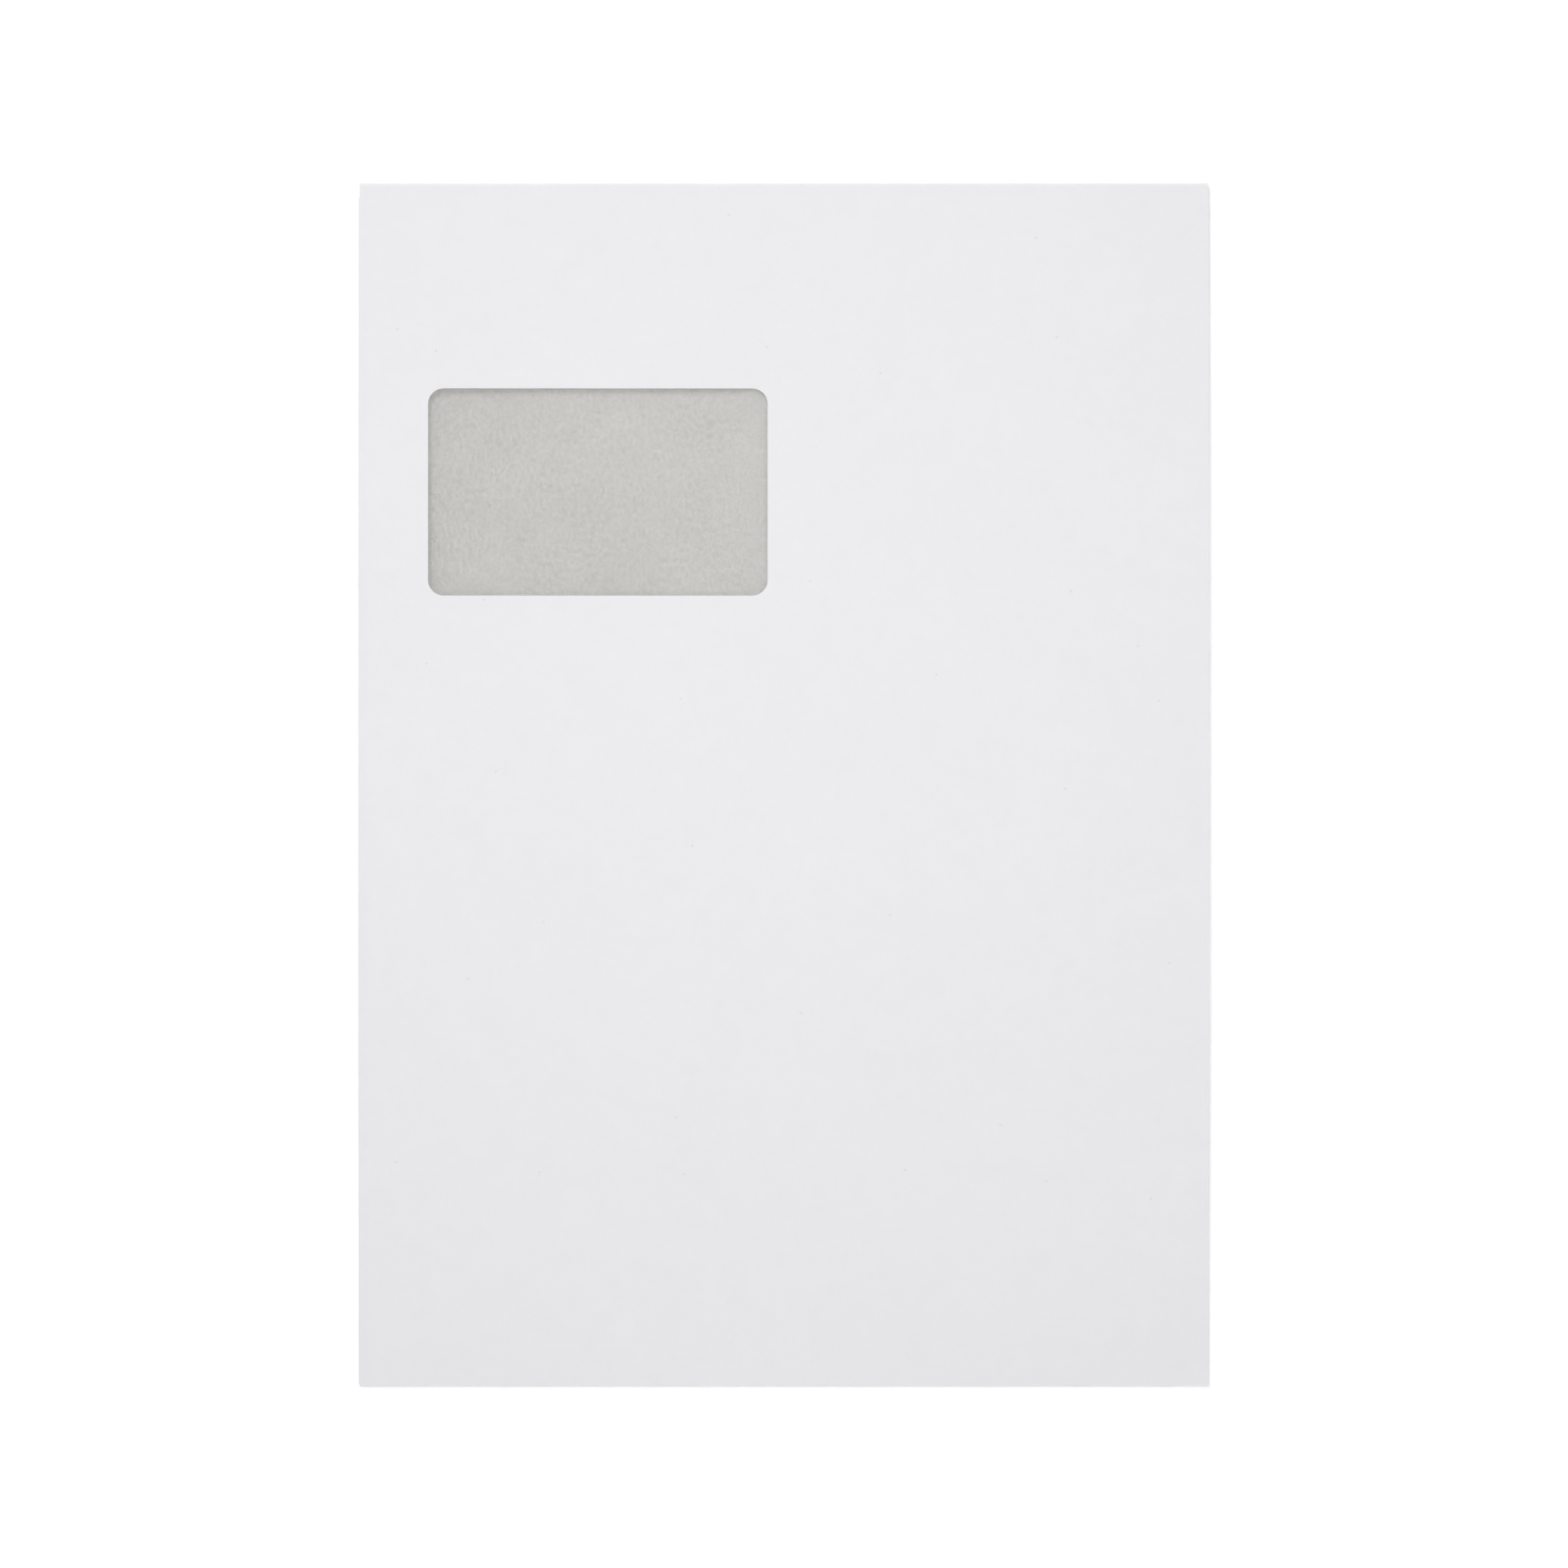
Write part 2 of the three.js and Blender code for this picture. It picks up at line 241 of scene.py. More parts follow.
class Form:
    """Heights, folds and places of the sheet's middle surface, worked out from its sizes."""

    def __init__(self, sizes):
        s = self.sizes = sizes
        width, length = (SHEET_HIGH - SHEET_LOW)[:2]
        self.half = s.paper / 2
        self.fold_radius = (s.paper + s.layer_air) / 2
        # The back, two legs of a gusset and the front are four layers, so three steps apart.
        self.stack = 3 * (s.paper + s.layer_air)
        self.seam_rise = s.paper + s.glue
        self.back_at_mouth = LINER_HIGH[2] + s.contact + self.half
        self.back_at_bottom = s.paper + s.glue + self.half
        self.back_at_rest = s.rest_air + self.half
        self.mouth_radius = (self.back_at_mouth + self.stack - self.half) / 2
        self.bottom_radius = (self.back_at_bottom + self.stack - self.half) / 2
        self.mouth_y = length / 2 - self.mouth_radius - self.half
        self.bottom_y = -length / 2 + self.bottom_radius + self.half
        self.throat_y = length / 2 - s.throat
        self.side_x = width / 2 - self.fold_radius - self.half
        self.gusset_x = width / 2 - s.gusset_leg
        margin = np.array([s.film_margin, s.film_margin])
        self.window_low = FILM_LOW[:2] + margin
        self.window_high = FILM_HIGH[:2] - margin

    def opening(self, y):
        """How far the envelope has sprung open: 0 at both folded ends, 1 in the middle."""
        reach = self.sizes.spring_reach
        return ease((self.mouth_y - y) / reach) * ease((y - self.bottom_y) / reach)

    def back(self, y):
        """Height of the back panel: parallel to both flaps, sinking between them."""
        s = self.sizes
        flap_edge = self.mouth_y + self.mouth_radius - s.flap_length
        bottom_edge = self.bottom_y - self.bottom_radius + s.bottom_length
        near_bottom = 1 - ease((y - bottom_edge) / s.back_reach)
        near_mouth = 1 - ease((flap_edge - y) / s.back_reach)
        rest = self.back_at_rest
        lift = (self.back_at_bottom - rest) * near_bottom + (self.back_at_mouth - rest) * near_mouth
        return rest + lift

    def side_gap(self, y):
        """Distance between back and front panel along the side folds."""
        return self.stack + self.sizes.gusset_spring * self.opening(y)

    def cockle(self, x, y):
        """Slow waves of the paper: crossing sine waves, never above 0 and still at the edges."""
        waves = [np.sin(2 * np.pi * (x / a + y / b) + phase) for a, b, phase in COCKLE_WAVES]
        edge = ease((self.side_x - np.abs(x)) / self.sizes.gusset_leg) * np.sqrt(self.opening(y))
        return self.sizes.cockle * edge * (sum(waves) / len(waves) - 1) / 2

    def front(self, x, y):
        """Height of the front panel: level over the gussets, a small step down at their inner folds
        and a cosine dip between them."""
        inward = ease(1 - np.minimum(np.abs(x) / self.gusset_x, 1))
        dip = self.sizes.front_sag * self.opening(y) * inward
        past_fold = (self.gusset_x + PRINT_START - np.abs(x)) / PRINT_WIDTH
        step_down = self.sizes.gusset_print * ease(past_fold)
        return self.back(y) + self.side_gap(y) - dip - step_down + self.cockle(x, y)

    def front_points(self, x, y):
        """Points and outward directions of the front panel. The direction leans across the envelope
        only, by the slope between two points beside each point."""
        x, y = np.broadcast_arrays(x, y)
        rise = self.front(x + SLOPE_STEP, y) - self.front(x - SLOPE_STEP, y)
        slope_x = rise / (2 * SLOPE_STEP)
        normal = unit(np.stack([-slope_x, np.zeros_like(x), np.ones_like(x)], -1))
        return np.stack([x, y, self.front(x, y)], -1), normal


def unit(vectors):
    """Vectors scaled to length 1."""
    return vectors / np.linalg.norm(vectors, axis=-1, keepdims=True)


def spread(low, high, pitch):
    """Even steps from low to high, no wider than the pitch, both ends included."""
    steps = max(1, math.ceil(abs(high - low) / pitch - ROUNDING))
    return np.linspace(low, high, steps + 1)


def joined(*runs):
    """Runs of values one after another, each starting where the last one ended."""
    return np.concatenate([runs[0]] + [run[1:] for run in runs[1:]])


def window_lines(form, mesh, low, high, axis):
    """Grid lines from low to high across one axis, packed beside the window's corners.

    Two bands of dense lines cover the corners, and their outer ends bound the rectangular hole that
    the window's collar fills.
    """
    collar = form.sizes.window_corner / 2
    dense = form.sizes.window_corner + collar
    first = form.window_low[axis] - collar
    last = form.window_high[axis] + collar
    return joined(
        spread(low, first, mesh.pitch),
        spread(first, first + dense, mesh.corner_pitch),
        spread(first + dense, last - dense, mesh.pitch),
        spread(last - dense, last, mesh.corner_pitch),
        spread(last, high, mesh.pitch),
    ), (first, last)


def fold_points(form, centre_x, centre_z, y, start, end, steps):
    """A fold round a centre as the sheet's heading turns from one angle to another.

    The outer face is on the left of the heading. The point is the centre plus the fold's radius along
    the outer direction on a right turn, and minus it on a left turn.
    """
    turn = np.linspace(0, 1, steps + 1)
    heading = start + (end - start) * turn
    normal = np.stack([-np.sin(heading), np.zeros_like(heading), np.cos(heading)], -1)
    side = np.where(end < start, 1.0, -1.0)[..., None]
    centre = np.concatenate([centre_x, y, centre_z], -1)[:, None, :]
    return centre + side * form.fold_radius * normal, normal


def side_points(form, mesh, y, rise):
    """The back panel and the gusset on the left, at every y: points, outward directions, and weights of
    the painted highlight along the folds.

    rise lifts the part of the back panel that laps over the other half.
    """
    s = form.sizes
    lap = s.seam_lap / 2
    x = joined(
        spread(lap, -lap, mesh.pitch),
        spread(-lap, -lap - s.seam_ramp, mesh.pitch / 2),
        spread(-lap - s.seam_ramp, -form.side_x, mesh.pitch),
    )[:-1]
    lift = rise * ease((x + lap + s.seam_ramp) / s.seam_ramp)
    flat_x, flat_y = np.broadcast_arrays(x, y)
    flat = np.stack([flat_x, flat_y, form.back(y) + lift + 0 * flat_x], -1)
    down = np.broadcast_to(np.array([0.0, 0.0, -1.0]), flat.shape)

    # Each leg is a straight line that touches the folds at its two ends from opposite sides.
    across = 2 * form.fold_radius
    climb = (form.side_gap(y) - across) / 2
    tilt = np.arcsin(climb / math.hypot(s.gusset_leg, across)) - math.atan2(across, s.gusset_leg)
    inner_x = -form.side_x + s.gusset_leg * np.cos(tilt) - across * np.sin(tilt)
    outer_x = np.full_like(y, -form.side_x)
    low = form.back(y) + form.fold_radius
    turn = np.full_like(y, np.pi)
    steps = mesh.fold_steps
    folds = [
        fold_points(form, outer_x, low, y, turn, tilt, steps),
        fold_points(form, inner_x, low + climb, y, tilt, np.pi - tilt, steps),
        fold_points(form, outer_x, low + 2 * climb, y, np.pi - tilt, 0 * y, steps),
    ]
    points = np.concatenate([flat] + [place for place, _ in folds], 1)
    normals = np.concatenate([down] + [outward for _, outward in folds], 1)
    # Weights of the painted highlight: 0 on the flat back, rising to 1 at the middle of each fold.
    fold_highlight = np.concatenate([np.zeros(len(x))] + [np.sin(np.linspace(0, np.pi, steps + 1))] * 3)
    return points, normals, np.broadcast_to(fold_highlight, points.shape[:2])


def mirrored(points, normals, fold_highlight):
    """The same part on the other side, walked the other way."""
    flip = np.array([-1.0, 1.0, 1.0])
    return (points * flip)[:, ::-1], (normals * flip)[:, ::-1], fold_highlight[:, ::-1]


def flap_share(form, distance, reach, taper, corner):
    """Half-width of a flap over the panel's: straight tapering sides, then rounded corners."""
    into_corner = np.maximum(0, distance - (reach - corner))
    rounding = corner - np.sqrt(np.maximum(0, corner**2 - into_corner**2))
    return (form.side_x - taper * distance / reach - rounding) / form.side_x


def flap_points(form, mesh, x, centre_y, radius, direction, length, taper, corner):
    """Rows of a flap from its fold outward: half a turn about the folded end, then the flat flap."""
    angle = np.linspace(0, np.pi, mesh.round_steps + 1)[1:, None]
    ones = np.ones_like(x)
    turn = np.stack(
        [
            0 * angle + x,
            centre_y + direction * radius * np.sin(angle) * ones,
            form.half + radius * (1 + np.cos(angle)) * ones,
        ],
        -1,
    )
    turn_out = np.stack(
        [0 * angle * ones, direction * np.sin(angle) * ones, np.cos(angle) * ones], -1
    )
    reach = length - radius
    bend = np.sin(np.linspace(0, np.pi / 2, mesh.round_steps + 1))
    run = joined(spread(0, reach - corner, mesh.pitch), reach - corner + corner * bend)[1:, None]
    flat = np.stack(
        [
            x * flap_share(form, run, reach, taper, corner),
            centre_y - direction * run * ones,
            np.full((len(run), len(x)), form.half),
        ],
        -1,
    )
    flat_out = np.broadcast_to(np.array([0.0, 0.0, -1.0]), flat.shape)
    # Weights of the painted highlight: most at the middle of the folded end, 0 on the flat flap.
    fold_highlight = np.concatenate([np.sin(angle) * ones, 0 * run * ones])
    return np.concatenate([turn, flat]), np.concatenate([turn_out, flat_out]), fold_highlight


# Meshes from grids

def sheet_mesh(name, points, normals, cells, thickness, marks=()):
    """A closed thin solid from a middle surface.

    Each point goes half the thickness both ways along its direction. The cells cover both faces, and
    an edge that only one cell uses gets a wall. marks are (name, values at the points) pairs.
    """
    count = len(points)
    outer = points + normals * thickness / 2
    inner = points - normals * thickness / 2
    start = cells.reshape(-1)
    end = np.roll(cells, -1, axis=1).reshape(-1)
    cut = ~np.isin(start * count + end, end * count + start)
    near, far = start[cut], end[cut]
    walls = np.stack([near, near + count, far + count, far], -1)
    faces = np.concatenate([cells, cells[:, ::-1] + count, walls])
    mesh = bpy.data.meshes.new(name)
    mesh.vertices.add(2 * count)
    mesh.vertices.foreach_set("co", np.concatenate([outer, inner]).astype(np.float32).reshape(-1))
    mesh.loops.add(faces.size)
    mesh.loops.foreach_set("vertex_index", faces.astype(np.int32).reshape(-1))
    mesh.polygons.add(len(faces))
    mesh.polygons.foreach_set("loop_start", np.arange(0, faces.size, 4, dtype=np.int32))
    mesh.polygons.foreach_set("use_smooth", np.ones(len(faces), bool))
    mesh.update(calc_edges=True)
    mesh.set_sharp_from_angle(angle=SHARP_ANGLE)
    inside = np.concatenate([np.zeros(count), np.ones(count)])
    both_faces = [(mark, np.tile(values, 2)) for mark, values in marks]
    for mark, values in [("inside", inside)] + both_faces:
        layer = mesh.attributes.new(mark, "FLOAT", "POINT")
        layer.data.foreach_set("value", values.astype(np.float32))
    return mesh


def grid_cells(ids, keep=None):
    """Four-cornered cells between neighbouring rows and columns of a grid of point numbers."""
    cells = np.stack([ids[:-1, :-1], ids[:-1, 1:], ids[1:, 1:], ids[1:, :-1]], -1)
    whole = (cells >= 0).all(-1)
    if keep is not None:
        whole &= keep
    return cells[whole]


def window_collar(form, loop_xy):
    """Rings of points from the rectangular hole's edge in to the window's rounded outline.

    A point of the outline is the corner-centre box's nearest point, pushed out by the corner radius
    towards the point of the hole's edge that it belongs to.
    """
    radius = form.sizes.window_corner
    nearest = np.clip(loop_xy, form.window_low + radius, form.window_high - radius)
    outline = nearest + radius * unit(loop_xy - nearest)
    shares = np.linspace(0, 1, COLLAR_RINGS + 1)[1:, None, None]
    return loop_xy + (outline - loop_xy) * shares


def blank_grid(form, mesh):
    """The whole sheet as one grid: rows along the blank, columns across it, gaps where it is cut away."""
    s = form.sizes
    x, (hole_left, hole_right) = window_lines(form, mesh, -form.side_x, form.side_x, 0)
    y, (hole_low, hole_high) = window_lines(form, mesh, form.bottom_y, form.throat_y, 1)
    rows = y[:, None]
    left = side_points(form, mesh, rows, form.seam_rise)
    right = mirrored(*side_points(form, mesh, rows, 0.0))
    front, front_out = form.front_points(x[None, 1:-1], rows)
    tube = [
        np.concatenate(parts, 1)
        for parts in zip(left, (front, front_out, np.zeros(front.shape[:2])), right)
    ]
    side = left[0].shape[1] - 1

    def padded(parts):
        """Rows of the front columns alone, padded with gaps at both sides."""
        return [
            np.pad(part, [(0, 0), (side, side)] + [(0, 0)] * (part.ndim - 2), constant_values=np.nan)
            for part in parts
        ]

    lip_y = spread(form.throat_y, form.mouth_y, mesh.pitch / 2)[1:, None]
    lip, lip_out = form.front_points(x[None], lip_y)
    closing = flap_points(
        form, mesh, x, form.mouth_y, form.mouth_radius, 1, s.flap_length, s.flap_taper, s.flap_corner
    )
    bottom = flap_points(
        form, mesh, x, form.bottom_y, form.bottom_radius, -1,
        s.bottom_length, s.bottom_taper, s.bottom_corner,
    )
    parts = [
        padded([part[::-1] for part in bottom]),
        tube,
        padded([lip, lip_out, np.zeros(lip.shape[:2])]),
        padded(closing),
    ]
    points, normals, fold_highlight = (np.concatenate(run) for run in zip(*parts))
    first = len(bottom[0])
    hole_rows = [first + int(np.argmin(abs(y - edge))) for edge in (hole_low, hole_high)]
    hole_columns = [side + int(np.argmin(abs(x - edge))) for edge in (hole_left, hole_right)]
    return points, normals, fold_highlight, hole_rows, hole_columns


def envelope_sheet_mesh(form, mesh):
    """The folded sheet: the blank's grid with the window's collar set into its rectangular hole."""
    points, normals, fold_highlight, (low, high), (left, right) = blank_grid(form, mesh)
    there = ~np.isnan(points[..., 0])
    ids = np.where(there, np.cumsum(there).reshape(there.shape) - 1, -1)
    keep = np.ones((ids.shape[0] - 1, ids.shape[1] - 1), bool)
    keep[low:high, left:right] = False
    cells = grid_cells(ids, keep)

    loop = np.concatenate([
        ids[low, left:right], ids[low:high, right], ids[high, right:left:-1], ids[high:low:-1, left],
    ])
    flat, flat_out, flat_fold_highlight = points[there], normals[there], fold_highlight[there]
    ring_xy = window_collar(form, flat[loop, :2])
    ring, ring_out = form.front_points(ring_xy[..., 0], ring_xy[..., 1])
    new_ids = len(flat) + np.arange(ring[..., 0].size).reshape(ring.shape[:2])
    rings = np.concatenate([loop[None], new_ids])
    rings = np.concatenate([rings, rings[:, :1]], 1)
    used = np.concatenate([cells, grid_cells(rings)])
    points = np.concatenate([flat, ring.reshape(-1, 3)])
    normals = np.concatenate([flat_out, ring_out.reshape(-1, 3)])
    fold_highlight = np.concatenate([flat_fold_highlight, np.zeros(ring[..., 0].size)])
    numbers, used = np.unique(used, return_inverse=True)
    used = used.reshape(-1, 4)
    return sheet_mesh(
        "folded_sheet", points[numbers], normals[numbers], used, form.sizes.paper,
        [("fold_highlight", fold_highlight[numbers])],
    )


def window_film_mesh(form, mesh):
    """The film: a rectangle that follows the front panel at the contact gap behind it."""
    s = form.sizes
    x = spread(FILM_LOW[0], FILM_HIGH[0], mesh.pitch)[None, :]
    y = spread(FILM_LOW[1], FILM_HIGH[1], mesh.pitch / 2)[:, None]
    points, normals = form.front_points(x, y)
    points = points - [0, 0, form.half + s.contact + s.film / 2]
    ids = np.arange(points[..., 0].size).reshape(points.shape[:2])
    return sheet_mesh(
        "film_patch", points.reshape(-1, 3), normals.reshape(-1, 3), grid_cells(ids), s.film
    )


def strip_mesh(name, low, high, corner, pitch_along, pitch_across, depth=None):
    """A strip that fills the box from low to high, with rounded corners.

    A row across the strip is as long as the outline there: the corner's quarter circles shorten it
    near both edges. depth gives the strip's thickness, as a part of the box's height, from the
    distance to the middle line and to the outline. The underside stays flat.
    """
    middle = (low + high) / 2
    half_length, half_width = (high - low)[:2] / 2
    bend = corner * (1 - np.cos(np.linspace(0, np.pi / 2, CORNER_POINTS)))
    across = joined(
        -half_width + bend,
        spread(-half_width + corner, half_width - corner, pitch_across),
        half_width - bend[::-1],
    )[None, :]
    ends = bend / half_length
    along = joined(
        -1 + ends,
        spread(-1 + ends[-1], 1 - ends[-1], pitch_along / half_length),
        1 - ends[::-1],
    )[:, None]
    into_corner = np.maximum(0, np.abs(across) - (half_width - corner))
    row_half = half_length - corner + np.sqrt(np.maximum(0, corner**2 - into_corner**2))
    x = along * row_half
    y = across + 0 * along
    to_edge = np.minimum(row_half - np.abs(x), half_width - np.abs(y))
    part = np.ones_like(x) if depth is None else depth(y, to_edge)
    thickness = part * (high[2] - low[2])
    points = np.stack([middle[0] + x, middle[1] + y, low[2] + thickness / 2], -1)
    normals = np.broadcast_to(np.array([0.0, 0.0, 1.0]), points.shape)
    ids = np.arange(x.size).reshape(x.shape)
    return sheet_mesh(
        name,
        points.reshape(-1, 3),
        normals.reshape(-1, 3),
        grid_cells(ids)[:, ::-1],
        thickness.reshape(-1, 1),
    )


def adhesive_mesh(sizes):
    """The adhesive strip: cosine ribs along it, and edges that thin out like a quarter circle."""

    def depth(y, to_edge):
        """Thickness: a rounded shoulder at the outline, times the ribs' wave."""
        near = np.clip(to_edge / sizes.adhesive_edge, 0, 1)
        shoulder = EDGE_SHARE + (1 - EDGE_SHARE) * np.sqrt(1 - (1 - near) ** 2)
        wave = (1 - np.cos(2 * np.pi * y / sizes.rib_pitch)) / 2
        return shoulder * (1 - sizes.rib_share * wave)

    return strip_mesh(
        "glue_band", ADHESIVE_LOW, ADHESIVE_HIGH, sizes.adhesive_corner,
        STRIP_PITCH, sizes.rib_pitch / RIB_STEPS, depth,
    )


def liner_mesh(sizes):
    """The release liner: a flat strip of paper with rounded corners."""
    return strip_mesh(
        "liner_strip", LINER_LOW, LINER_HIGH, sizes.liner_corner, STRIP_PITCH, LINER_PITCH
    )


# Shader maths

class Wire:
    """A node's output that adds Math nodes when it is used in an expression."""

    def __init__(self, shader, socket):
        self.shader = shader
        self.socket = socket

    def _math(self, operation, *values, clamp=False):
        settings = {"operation": operation, "use_clamp": clamp}
        return self.shader.node("ShaderNodeMath", settings, dict(enumerate(values)))

    def __add__(self, other):
        return self._math("ADD", self, other)

    __radd__ = __add__

    def __mul__(self, other):
        return self._math("MULTIPLY", self, other)

    __rmul__ = __mul__

    def __sub__(self, other):
        return self._math("SUBTRACT", self, other)

    def __rsub__(self, other):
        return self._math("SUBTRACT", other, self)

    def swing(self, amount):
        """A noise from 0 to 1 moved about 0 and made this wide."""
        return (self - 0.5) * amount

    def between(self, low, high):
        """0 below low, 1 above high, straight between them."""
        return self._math("MULTIPLY", self - low, 1.0 / (high - low), clamp=True)


class Shader:
    """One material or world under construction."""

    def __init__(self, owner):
        owner.use_nodes = True
        self.tree = owner.node_tree
        self.tree.nodes.clear()

    def node(self, kind, settings=None, values=None, output=0):
        """A node of a kind: its settings first, then the values or links of its sockets."""
        made = self.tree.nodes.new(kind)
        for key, value in (settings or {}).items():
            setattr(made, key, value)
        for key, value in (values or {}).items():
            if isinstance(value, Wire):
                self.tree.links.new(value.socket, made.inputs[key])
            else:
                made.inputs[key].default_value = value
        return Wire(self, made.outputs[output])

    def place(self, scale=(1, 1, 1), turn=0.0):
        """Object coordinates, stretched and turned about Z."""
        here = self.node("ShaderNodeTexCoord", output="Object")
        values = {"Vector": here, "Rotation": (0.0, 0.0, turn), "Scale": scale}
        return self.node("ShaderNodeMapping", {"vector_type": "TEXTURE"}, values)

    def along(self, axis):
        """One of the Object coordinates, in metres."""
        return self.node("ShaderNodeSeparateXYZ", None, {0: self.place()}, axis)

    def noise(self, vector, scale, detail=3.0, roughness=0.5, dimensions="3D"):
        """Fractal noise from 0 to 1 about 0.5. In 2D it is the same at every height."""
        values = {"Vector": vector, "Scale": scale, "Detail": detail, "Roughness": roughness}
        return self.node("ShaderNodeTexNoise", {"noise_dimensions": dimensions}, values, "Fac")

    def mark(self, name):
        """A value stored on the mesh's points."""
        settings = {"attribute_type": "GEOMETRY", "attribute_name": name}
        return self.node("ShaderNodeAttribute", settings, output="Fac")

    def mix(self, share, low, high):
        """Colour low at 0 and colour high at 1. Sockets 6 and 7 and output 2 are the colour ones."""
        return self.node("ShaderNodeMix", {"data_type": "RGBA"}, {0: share, 6: low, 7: high}, 2)

    def tone(self, value, level):
        """A colour times a number that varies over the surface."""
        values = {0: tuple(value), "Scale": level}
        return self.node("ShaderNodeVectorMath", {"operation": "SCALE"}, values)

    def ray(self, *kinds):
        """1 for rays of the kinds named, 0 for others."""
        path = self.node("ShaderNodeLightPath")
        wires = [Wire(self, path.socket.node.outputs[f"Is {kind} Ray"]) for kind in kinds]
        return sum(wires[1:], wires[0]).between(0.0, 1.0)

    def bump(self, height, distance, strength=1.0):
        """A normal from a height field; distance is the height that 1 stands for, in metres."""
        values = {"Height": height, "Distance": distance, "Strength": strength}
        return self.node("ShaderNodeBump", None, values, "Normal")

    def finish(self, surface, kind="Material"):
        """Links the last shader to the output."""
        out = self.tree.nodes.new("ShaderNodeOutput" + kind)
        self.tree.links.new(surface.socket, out.inputs["Surface"])


def material(name):
    """A new material and its shader."""
    made = bpy.data.materials.new(name)
    return made, Shader(made)


def paper_material(finishes, film_margin):
    """White paper outside, grey print inside: fibres, cloudy formation, a few specks, a painted highlight
    along the folds, and painted shade on the grey beside the window's left edge.
    """
    made, shader = material("envelope_paper")
    here = shader.place()
    along = shader.place(scale=(1.0, 3.5, 1.0), turn=math.radians(2))
    cloud = shader.noise(here, scale=130.0, detail=4.0, roughness=0.85)
    fibre = shader.noise(along, scale=1500.0, detail=3.0, roughness=0.6, dimensions="2D")
    stretched = shader.place(scale=(1.0, 1.6, 1.0))
    thread = shader.noise(stretched, scale=1200.0, detail=2.0, roughness=0.6, dimensions="2D")
    patch = shader.noise(here, scale=75.0, detail=2.0, roughness=0.55)
    drift = shader.noise(here, scale=22.0, detail=2.0, roughness=0.5)
    fold_highlight = shader.mark("fold_highlight")
    inside = shader.mark("inside").between(*INNER_FACE)

    nearest = shader.node(
        "ShaderNodeTexVoronoi",
        {"voronoi_dimensions": "2D", "feature": "F1"},
        {"Vector": here, "Scale": SPECKS_PER_METRE},
        "Distance",
    )
    speck = 1.0 - nearest.between(*SPECK_EDGE)
    # Painted highlight: the paper is made a little lighter along the folds.
    white_level = (
        1.0 + cloud.swing(0.056) + fibre.swing(0.012) + drift.swing(0.020)
        + fold_highlight * 0.012 - speck * 0.12
    )
    # Painted shade: the grey inside is a little darker towards the left, and darkest beside the window's
    # left edge by the gusset, where that edge's shadow falls.
    window_left = FILM_LOW[0] + film_margin
    window_right = FILM_HIGH[0] - film_margin
    side = shader.along("X")
    # Painted shadow beside the window's left edge, fading out inwards, and painted shade that grows
    # towards the left across the window.
    edge_shadow_fade = side.between(window_left, window_left + EDGE_SHADOW_WIDTH)
    across = side.between(window_left, window_right)
    grey_level = (
        0.93 + thread.swing(0.50) + fibre.swing(0.12) + drift.swing(0.16)
        + patch.swing(0.15) + edge_shadow_fade * 0.045 + across * 0.055
    )
    white = shader.tone(finishes.paper_white, white_level)
    grey = shader.tone(finishes.tint_grey, grey_level)
    base = shader.mix(inside, white, grey)
    normal = shader.bump(fibre * 0.7 + thread * 0.3 + cloud * 0.2, 0.03 * MM, strength=0.5)
    surface = shader.node(
        "ShaderNodeBsdfPrincipled",
        None,
        {
            "Base Color": base,
            "Roughness": 0.86 + fibre.swing(0.12),
            "Specular IOR Level": 0.25,
            "Normal": normal,
        },
    )
    shader.finish(surface)
    return made


def film_material(finishes):
    """Clear film: thin, glossy, with a faint haze and drawing lines."""
    made, shader = material("window_film")
    lines = shader.place(scale=(1.0, 14.0, 1.0))
    drawn = shader.noise(lines, scale=300.0, detail=2.0, roughness=0.5)
    haze = shader.noise(shader.place(), scale=30.0, detail=2.0, roughness=0.5)
    stretched = shader.place(scale=(1.0, 1.4, 1.0))
    grain = shader.noise(stretched, scale=1900.0, detail=1.0, roughness=0.6, dimensions="2D")
    surface = shader.node(
        "ShaderNodeBsdfPrincipled",
        None,
        {
            "Base Color": shader.tone(finishes.film_veil, 0.98 + haze * 0.04 + grain.swing(1.10)),
            "Roughness": 0.10 + drawn * 0.06,
            "Specular IOR Level": 0.8,
            "Alpha": finishes.film_cover + haze.swing(0.04),
            "Normal": shader.bump(drawn, 0.01 * MM, strength=0.3),
        },
    )
    shader.finish(surface)
    return made


def adhesive_material(finishes):
    """Cream hot-melt: satin, mottled and drawn out along the strip."""
    made, shader = material("self_adhesive")
    drawn = shader.noise(shader.place(scale=(9.0, 1.0, 1.0)), scale=900.0)
    mottle = shader.noise(shader.place(), scale=400.0)
    surface = shader.node(
        "ShaderNodeBsdfPrincipled",
        None,
        {
            "Base Color": shader.tone(
                finishes.adhesive_cream, 0.95 + drawn * 0.05 + mottle * 0.05
            ),
            "Roughness": 0.28 + mottle * 0.14,
            "Normal": shader.bump(drawn + mottle * 0.4, 0.02 * MM, strength=0.5),
        },
    )
    shader.finish(surface)
    return made


def liner_material(finishes):
    """Silicone-coated paper: smooth and a little shiny over fine fibres."""
    made, shader = material("release_liner")
    fibre = shader.noise(shader.place(scale=(3.0, 1.0, 1.0)), scale=1400.0)
    cloud = shader.noise(shader.place(), scale=160.0)
    surface = shader.node(
        "ShaderNodeBsdfPrincipled",
        None,
        {
            "Base Color": shader.tone(
                finishes.liner_cream, 0.98 + fibre.swing(0.04) + cloud * 0.03
            ),
            "Roughness": 0.34 + cloud * 0.12,
            "Coat Weight": 0.35,
            "Coat Roughness": 0.2,
            "Normal": shader.bump(fibre, 0.02 * MM, strength=0.4),
        },
    )
    shader.finish(surface)
    return made


